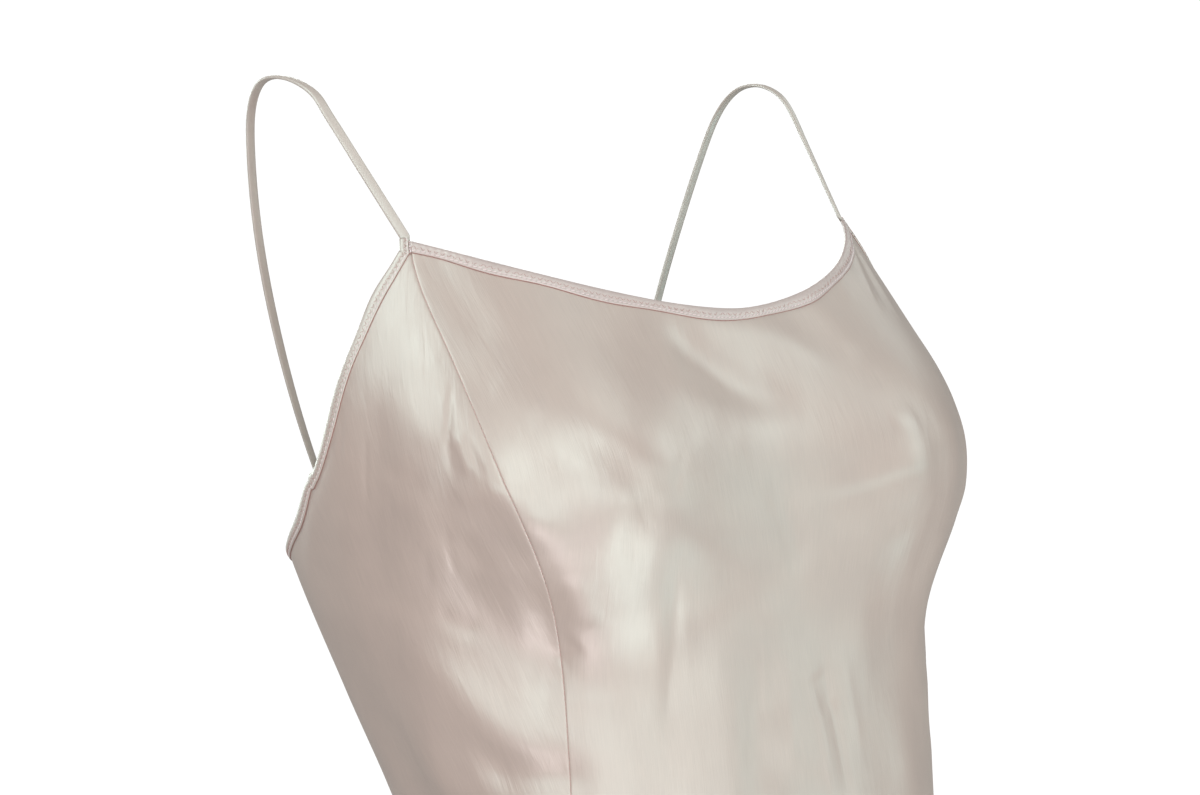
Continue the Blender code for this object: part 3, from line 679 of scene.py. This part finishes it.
for name, edge_at, count in (("neckline_binding", neckline, 321), ("back_binding", back_edge, 181)):
    edges = [edge_at(count, distance) for distance in np.linspace(0, BINDING_WIDTH, 3)]
    lines = np.array([skin(*edge, creased=True) for edge in edges]), outward_at(*edges[1])
    binding(name, lines, binding_satin, ripple=0.00022)

STRIP_RISE = 0.0065        # the armhole's binding runs this far up beside the neckline's end
STRIP_STEPS = 8            # rows of points in that stretch
STRIP_NARROWS = 0.1        # share of the width by which it narrows to its end


def armhole_lines(side, count):
    """The armhole binding's lines of points, arm side first, and the directions out of the form."""
    angle, z = armhole(side, count)
    rise = np.linspace(1, 0, STRIP_STEPS + 1)[:-1]
    strip = around_side(side, 0 * rise, z[0] + STRIP_RISE * rise)
    angle, z = np.concatenate([strip[0], angle]), np.concatenate([strip[1], z])
    edges = [beside(side, angle, z, distance) for distance in np.linspace(BINDING_WIDTH, 0, 3)]
    lines = np.array([skin(*edge, creased=True) for edge in edges])
    narrowed = np.concatenate([1 - STRIP_NARROWS * rise, np.ones(count)])[:, None]
    return lines[2] + (lines - lines[2]) * narrowed, outward_at(*edges[1])


for side in ("right", "left"):
    lines = armhole_lines(side, 361)
    binding("armhole_binding_" + side, lines, strap_satin, ripple=0.00006)


# The straps -----------------------------------------------------------------------------------------
#
# Rouleau straps: bias tubes turned right side out and pressed flat. Each is sewn to the front end of
# an armhole binding, taut up to the shoulder, and comes down to the seam in the back edge.

STRAP_WIDTH = 0.004
STRAP_THICKNESS = 0.0014
STRAP_SKIN = 0.0003
STRAP_INSET = {"right": 0.0, "left": 0.0025}     # how much nearer the middle its way runs
STRAP_TAUT = (0.05, 0.35, 0.65, 0.90)    # shares of the straight way from the joint to the shoulder
STRAP_TWIST = 0.40         # share of the length over which each end turns to lie flat
STRAP_SEWN = {"front": 0.0012, "back": 0.0010}   # how far each end runs down over its binding
STRAP_FLAT_END = 0.0022    # straight stretch at each end
STRAP_STEPS = 261
STRAP_TURNS = 16           # points round the strap

# Over the shoulder and down the back to the seam: x away from the middle, y, z.
STRAP_ROUTE = np.array([
    (0.1360, -0.0335, -0.0155),
    (0.1368, -0.0262, -0.0080),
    (0.1380, -0.0186, -0.0037),
    (0.1390, -0.0100, -0.0010),
    (0.1400, 0.0000, 0.0000),
    (0.1398, 0.0110, -0.0022),
    (0.1380, 0.0210, -0.0110),
    (0.1340, 0.0290, -0.0300),
    (0.1240, 0.0380, -0.0720),
    (0.1120, 0.0420, -0.1150),
    (0.0990, 0.0390, -0.1620),
])


def strap(side, material):
    """Make a strap from the armhole binding's front end, over the shoulder, to its back end."""
    mirror = np.array([-1 if side == "right" else 1, 1, 1])
    outer, middle, inner = armhole_lines(side, 61)[0]
    front_up, front_across = unit(middle[0] - middle[1]), unit(outer[0] - inner[0])
    back_up, back_across = unit(outer[-1] - inner[-1]), unit(outer[-2] - outer[-1])
    start = middle[0] - front_up * STRAP_SEWN["front"]
    stop = outer[-1] - back_up * STRAP_SEWN["back"]
    first, last = start + front_up * STRAP_FLAT_END, stop + back_up * STRAP_FLAT_END
    over = (STRAP_ROUTE - (STRAP_INSET[side], 0, 0)) * mirror
    taut = [first + (over[0] - first) * share for share in STRAP_TAUT]
    route = np.vstack([first, taut, over, last])
    path = natural_cubic(along(route), route)(np.linspace(0, 1, STRAP_STEPS))
    path = np.vstack([start, path, stop])
    share = along(path)[:, None]
    front = 1 - smoothstep(share / STRAP_TWIST)
    back = smoothstep((share - 1 + STRAP_TWIST) / STRAP_TWIST)
    across = front_across * front + back_across * back + (mirror[0], 0, 0) * (1 - front - back)
    forward = unit(np.gradient(path, axis=0))
    across = unit(across - forward * np.sum(across * forward, axis=1, keepdims=True))
    upward = np.cross(across, forward)
    length = share[:, 0] * np.linalg.norm(np.diff(path, axis=0), axis=1).sum()
    grid, flat = [], []
    for turn in np.linspace(0, 2 * math.pi, STRAP_TURNS + 1)[:-1]:
        side_way = np.sign(math.cos(turn)) * abs(math.cos(turn)) ** 0.6 * STRAP_WIDTH / 2
        up_way = np.sign(math.sin(turn)) * abs(math.sin(turn)) ** 0.8 * STRAP_THICKNESS / 2
        grid.append(path + across * side_way + upward * up_way)
        flat.append(np.stack([length + side_way, length - side_way], axis=-1) / math.sqrt(2))
    piece = sheet_object("strap_" + side, grid, flat, STRAP_SKIN, material, closed=True)
    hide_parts("strap_" + side)
    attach(piece, "root")
    return piece


for side in ("right", "left"):
    strap(side, strap_satin)


# The stitching --------------------------------------------------------------------------------------
#
# Fine polyester thread. Along each binding a pale row of topstitch stands on the lower edge, a mauve
# zigzag lies above it, and a rose-brown row closes the edge below; its stitches overlap into one dark
# line, which is also painted shadow under the binding's edge. The princess seams show short bars
# of thread, the hem is stitched 9 mm up, and tacks strengthen both strap joints.

THREAD_END = 0.72          # share of a stitch's half length at which it starts to dip
THREAD_SIDES = 6
UNEVENNESS = 0.05          # share by which stitches differ in length and slant


def thread_material(name, colour):
    """Twisted polyester thread: duller than the satin, one even colour."""
    material = bpy.data.materials.new(name)
    material.use_nodes = True
    shader = material.node_tree.nodes["Principled BSDF"]
    shader.inputs["Base Color"].default_value = linear(colour)
    shader.inputs["Roughness"].default_value = 0.55
    return material


def stitches(name, line, outward, pitch, length, radius, material, slant=0.0, zigzag=False):
    """Lay bars of thread along a line of points; both ends of each dip into the cloth."""
    distance = np.concatenate([[0.0], np.cumsum(np.linalg.norm(np.diff(line, axis=0), axis=1))])
    count = max(1, round(distance[-1] / pitch))
    marks = (np.arange(count) + 0.5) * distance[-1] / count
    step = 0.0004
    before, place, after = [
        np.stack([np.interp(at, distance, line[:, i]) for i in range(3)], axis=-1)
        for at in (marks - step, marks, marks + step)
    ]
    up = unit(np.stack([np.interp(marks, distance, outward[:, i]) for i in range(3)], axis=-1))
    uneven = UNEVENNESS * (np.sin(marks * 5200) + np.sin(marks * 3100 + 1))
    lean = slant * ((-1.0) ** np.arange(count) if zigzag else 1) + uneven
    ahead = unit(after - before)
    ahead = unit(ahead + np.cross(up, ahead) * lean[:, None])
    side = np.cross(up, ahead)
    half = length / 2 * (1 + uneven)[:, None]
    dip = up * radius * 1.5
    points = [place - ahead * half - dip]
    for end in (-THREAD_END, THREAD_END):
        for turn in np.linspace(0, 2 * math.pi, THREAD_SIDES + 1)[:-1]:
            out = side * math.cos(turn) + up * math.sin(turn)
            points.append(place + ahead * half * end + out * radius)
    points.append(place + ahead * half - dip)
    # A point, two rings of corners and a point make one stitch.
    shape, last = [], 2 * THREAD_SIDES + 1
    for i in range(THREAD_SIDES):
        j = (i + 1) % THREAD_SIDES
        near, near_next, far, far_next = 1 + i, 1 + j, 1 + THREAD_SIDES + i, 1 + THREAD_SIDES + j
        shape += [(0, near_next, near), (near, near_next, far_next, far), (last, far, far_next)]
    points = np.stack(points, axis=1)
    faces = [tuple((last + 1) * k + corner for corner in face) for k in range(count) for face in shape]
    mesh = bpy.data.meshes.new(name)
    mesh.from_pydata(points.reshape(-1, 3).tolist(), [], faces)
    mesh.shade_smooth()
    mesh.materials.append(material)
    row = bpy.data.objects.new(name, mesh)
    bpy.context.scene.collection.objects.link(row)
    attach(row, "root")


pale_thread = thread_material("pale_rose_polyester_thread", "EADCDC")
blush_thread = thread_material("blush_polyester_thread", "C7A7A1")
mauve_thread = thread_material("mauve_polyester_thread", "B3938D")
# rose-brown thread for the edge row, which also serves as painted shadow under each binding
rose_thread_and_painted_shadow = thread_material("rose_brown_thread_and_painted_edge_shadow", "A67D76")
brown_thread = thread_material("brown_polyester_thread", "6E4640")

# Each row of stitches: pitch, length, radius, thread, slant, zigzag.
ROW_STITCHES = {
    "topstitch": (0.0021, 0.0019, 0.00019, pale_thread, 0.35, False),
    "zigzag": (0.0014, 0.0019, 0.00013, mauve_thread, 1.1, True),
    # stitches longer than their pitch make a continuous dark line, partly painted shadow
    "edge_stitches": (0.0023, 0.0030, 0.00017, rose_thread_and_painted_shadow, 0.0, False),
}
for (name, row), (line, outward) in stitched.items():
    stitches(f"{name}_{row}", line, outward, *ROW_STITCHES[row])

# The thread in the princess seams, from under the bindings to the hem.
SEAM_DEPTH = 0.00012
SEAM_TOPS = {
    "right": NECK_END_Z["right"] - BINDING_WIDTH,
    "left": NECK_END_Z["left"] - BINDING_WIDTH,
    "back_right": BACK_END_Z - BINDING_WIDTH,
    "back_left": BACK_END_Z - BINDING_WIDTH,
}
for seam, top_z in SEAM_TOPS.items():
    z = np.linspace(top_z - 0.001, HEM_Z + 0.004, 400)
    angle = seam_angle(z, seam)
    line = skin(angle, z, -SEAM_DEPTH, creased=True)
    stitches(seam + "_seam_stitches", line, outward_at(angle, z), 0.0022, 0.0021, 0.00016, blush_thread)

HEM_STITCHES_UP = 0.009
angle = np.linspace(0, 2 * math.pi, 721)
z = np.full(angle.shape, HEM_Z + HEM_STITCHES_UP)
line = skin(angle, z, SATIN_WALL / 2 + 0.00005, creased=True)
stitches("hem_stitches", line, outward_at(angle, z), 0.0030, 0.0024, 0.00015, blush_thread)

# Two bars of brown thread tack the left joint (z, distance beyond the seam), and a short upright
# zigzag the right one, from the top down to the seam's end.
LEFT_TACKS = ((-0.0697, 0.0004), (-0.0713, 0.0008))
LEFT_TACK_HALF = 0.0009
JOINT_RADIUS = 0.13        # of the form at the joint, to turn a distance into an angle
RIGHT_TACK_TOP = -0.0690
for number, (level, aside) in enumerate(LEFT_TACKS):
    z = np.full(2, level)
    angle = seam_angle(level, "left") + (aside + LEFT_TACK_HALF * np.array([-1, 1])) / JOINT_RADIUS
    line = skin(angle, z, 0.0012)
    stitches(f"left_tack_{number + 1}", line, outward_at(angle, z), 0.002, 0.0019, 0.00022, brown_thread)
z = np.linspace(RIGHT_TACK_TOP, SEAM_TOPS["right"], 9)
angle = seam_angle(z, "right")
line = skin(angle, z, 0.0011)
stitches("right_tack", line, outward_at(angle, z), 0.0013, 0.0016, 0.00012, blush_thread, 0.5, True)


# The studio -----------------------------------------------------------------------------------------
#
# White paper behind and below, and large soft boxes round the dress. The paper shows as pure white,
# but gives the satin only the dim, even light that it has in the room.

FLOOR_Z = -1.42
FLOOR_RADIUS = 60
ROOM_LIGHT = 0.28          # strength of the paper's light on the dress
SOFT_BOX_DISTANCE = 2.4    # a box is 1 m across at this distance, and smaller in proportion nearer by
LOW_BOX_DISTANCE = 1.8     # the low ones stand nearer, because of the floor
COOL_TINT = "E0FFFF"       # sky light from the left
PINK_TINT = "FFDCE2"       # light off a pink card at the low right


def paper_light(tree, strength, room, seen):
    """Drive a strength socket: one value for the light in the room, another for what the camera sees."""
    rays = add_node(tree, "ShaderNodeLightPath")
    value = add_node(
        tree, "ShaderNodeMapRange", {"Value": rays.outputs["Is Camera Ray"]}, To_Min=room, To_Max=seen
    )
    tree.links.new(value.outputs[0], strength)


def floor():
    """Matt white paper, far wider than the view."""
    bpy.ops.mesh.primitive_circle_add(
        vertices=96, radius=FLOOR_RADIUS, fill_type="NGON", location=(0, 0, FLOOR_Z)
    )
    ground = bpy.context.object
    ground.name = "studio_floor"
    paper = bpy.data.materials.new("matt_white_paper")
    paper.use_nodes = True
    shader = paper.node_tree.nodes["Principled BSDF"]
    shader.inputs["Base Color"].default_value = linear("6E6E6E")
    shader.inputs["Roughness"].default_value = 0.9
    shader.inputs["Specular IOR Level"].default_value = 0.0
    shader.inputs["Emission Color"].default_value = (1, 1, 1, 1)
    paper_light(paper.node_tree, shader.inputs["Emission Strength"], ROOM_LIGHT, 1.02)
    ground.data.materials.append(paper)


def soft_box(name, azimuth, elevation, watts, distance=SOFT_BOX_DISTANCE, colour="FFFFFF"):
    """A round soft box aimed at the bodice from a direction round it; azimuth 0 is straight in front."""
    aim = np.array([0.0, -0.08, -0.22])
    turn, rise = math.radians(azimuth), math.radians(elevation)
    way = np.array([math.sin(turn) * math.cos(rise), -math.cos(turn) * math.cos(rise), math.sin(rise)])
    light = bpy.data.lights.new(name, "AREA")
    light.shape = "DISK"
    size = distance / SOFT_BOX_DISTANCE
    light.size = size
    light.energy = watts * size ** 2
    light.color = linear(colour)[:3]
    lamp = bpy.data.objects.new(name, light)
    lamp.location = aim + way * distance
    lamp.rotation_euler = Vector(way).to_track_quat("Z", "Y").to_euler()
    lamp.visible_camera = False
    bpy.context.scene.collection.objects.link(lamp)


floor()
soft_box("back_right_soft_box", -165, 5, 17)
soft_box("back_left_soft_box", 150, 20, 12)
soft_box("level_far_right_soft_box", -60, 5, 6)
soft_box("level_right_soft_box", -30, 5, 7)
soft_box("level_front_soft_box", 0, 5, 5.5)
soft_box("level_left_soft_box", 25, 5, 2, colour=COOL_TINT)
soft_box("level_far_left_soft_box", 50, 5, 3, colour=COOL_TINT)
soft_box("high_back_right_soft_box", -110, 33, 4)
soft_box("high_right_soft_box", -85, 33, 6.5)
soft_box("key_soft_box", -30, 33, 9.5)
soft_box("high_left_soft_box", 52, 30, 5.5)
soft_box("high_back_left_soft_box", 105, 33, 3)
soft_box("top_right_soft_box", -100, 60, 11)
soft_box("top_front_soft_box", 20, 60, 4)
soft_box("low_right_soft_box", -40, -30, 9, LOW_BOX_DISTANCE, PINK_TINT)
soft_box("low_front_soft_box", 0, -30, 10, LOW_BOX_DISTANCE)
soft_box("low_left_soft_box", 45, -30, 4.5, LOW_BOX_DISTANCE, COOL_TINT)

world = bpy.data.worlds.new("studio")
bpy.context.scene.world = world
world.use_nodes = True
backdrop = world.node_tree.nodes["Background"]
backdrop.inputs["Color"].default_value = (1.0, 1.0, 1.0, 1.0)
paper_light(world.node_tree, backdrop.inputs["Strength"], ROOM_LIGHT, 1.05)
bpy.context.scene.view_settings.view_transform = "Standard"

CAMERA_PLACE = (-0.87563, -1.11858, -0.03101)
CAMERA_DOWN = 4.613        # degrees
CAMERA_TURN = -39.334
camera = bpy.data.cameras.new("camera")
camera.sensor_width = 36
camera.lens = 92.265
viewpoint = bpy.data.objects.new("camera", camera)
viewpoint.location = CAMERA_PLACE
viewpoint.rotation_euler = (math.radians(90 - CAMERA_DOWN), 0.0, math.radians(CAMERA_TURN))
bpy.context.scene.collection.objects.link(viewpoint)
bpy.context.scene.camera = viewpoint
